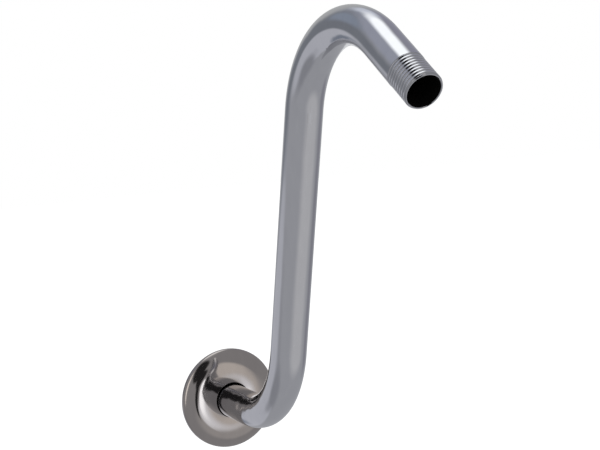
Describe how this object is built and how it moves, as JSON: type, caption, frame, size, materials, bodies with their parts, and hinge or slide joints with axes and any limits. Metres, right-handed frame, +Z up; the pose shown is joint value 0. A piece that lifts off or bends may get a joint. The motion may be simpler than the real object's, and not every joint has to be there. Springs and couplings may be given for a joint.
{
  "type": "rising shower arm with wall flange",
  "caption": "Rising S-shaped shower arm: a bent chromed tube with a male pipe thread at each end, and a loose domed wall flange that slides on its inlet leg.",
  "frame": {"origin": "on the axis of the inlet leg, in the plane of the wall, where the flange's back rim rests", "axes": "+Z up, -Y out of the wall into the room, +Y into the wall along the inlet leg, and X across; the whole tube lies in the plane X = 0"},
  "size_m": [0.064, 0.2783, 0.2768],
  "materials": {
    "arm_chrome": "polished chrome plate, cool grey",
    "flange_chrome": "polished chrome plate, slightly warm grey"
  },
  "bodies": {
    "arm": {"arm": "arm_chrome"},
    "flange": {"flange": "flange_chrome"}
  },
  "joints": [
    {"name": "flange_slide", "type": "slide", "parent": "arm", "child": "flange", "axis": [0, -1, 0], "range_m": [0, 0.026]}
  ]
}
